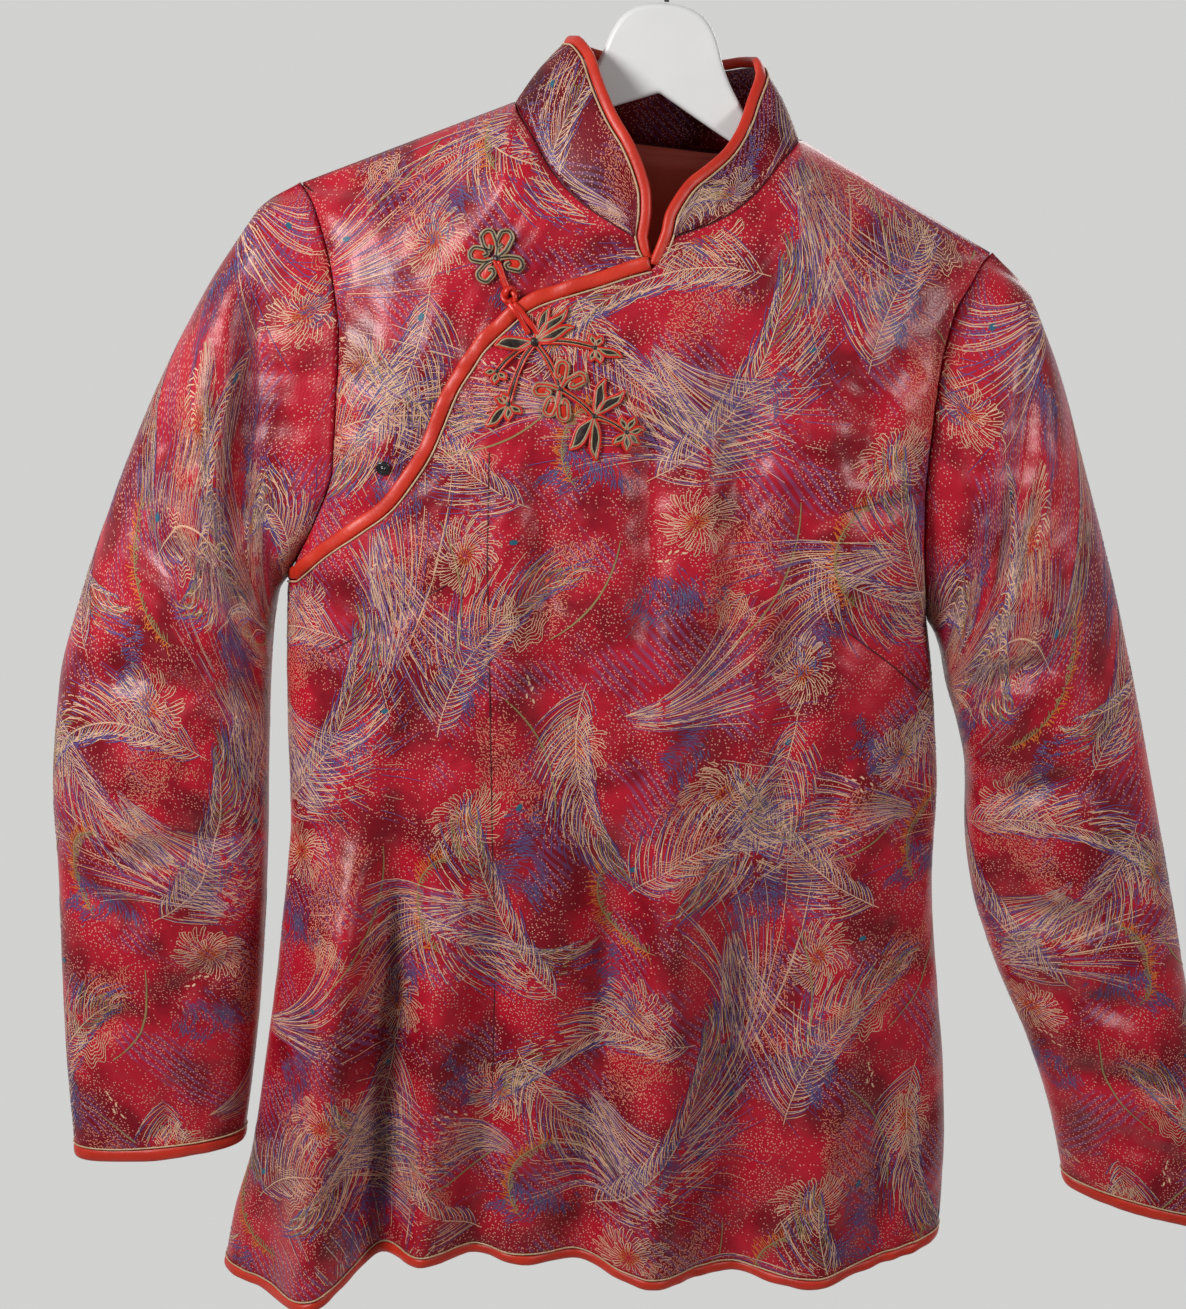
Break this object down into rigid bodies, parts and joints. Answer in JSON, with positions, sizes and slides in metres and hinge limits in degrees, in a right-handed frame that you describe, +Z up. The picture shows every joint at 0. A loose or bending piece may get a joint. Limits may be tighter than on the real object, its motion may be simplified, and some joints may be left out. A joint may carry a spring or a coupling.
{
  "type": "padded stand-collar jacket on a hanger",
  "caption": "Padded red brocade jacket with a stand collar, slanted bound front, long sleeves and flower frog fastening, hung on a white hanger.",
  "frame": {"origin": "inside top of the hanger hook's bend", "axes": "+Z up, -Y towards the jacket's front, +X towards the wearer's left"},
  "size_m": [0.7578, 0.1229, 0.883],
  "materials": {
    "brocade": "satin brocade, padded",
    "binding": "satin bias binding",
    "lining": "smooth lining",
    "frog_cord": "stitched satin cord",
    "red_cord": "satin cord",
    "steel": "dull metal",
    "white_hanger": "smooth white"
  },
  "bodies": {
    "root": {"front": "brocade", "underlap": "brocade", "back": "brocade", "sleeve_left": "brocade", "sleeve_right": "brocade", "collar": "brocade", "opening_binding": "binding", "collar_binding": "binding", "cuff_binding_left": "binding", "cuff_binding_right": "binding", "hem_binding_front": "binding", "hem_binding_back": "binding", "neck_lining": "lining", "frog_flower": "frog_cord", "frog_spray": "frog_cord", "frog_knot": "red_cord", "frog_loop": "red_cord", "snap": "steel", "hanger": "white_hanger", "hook": "steel"}
  },
  "joints": []
}
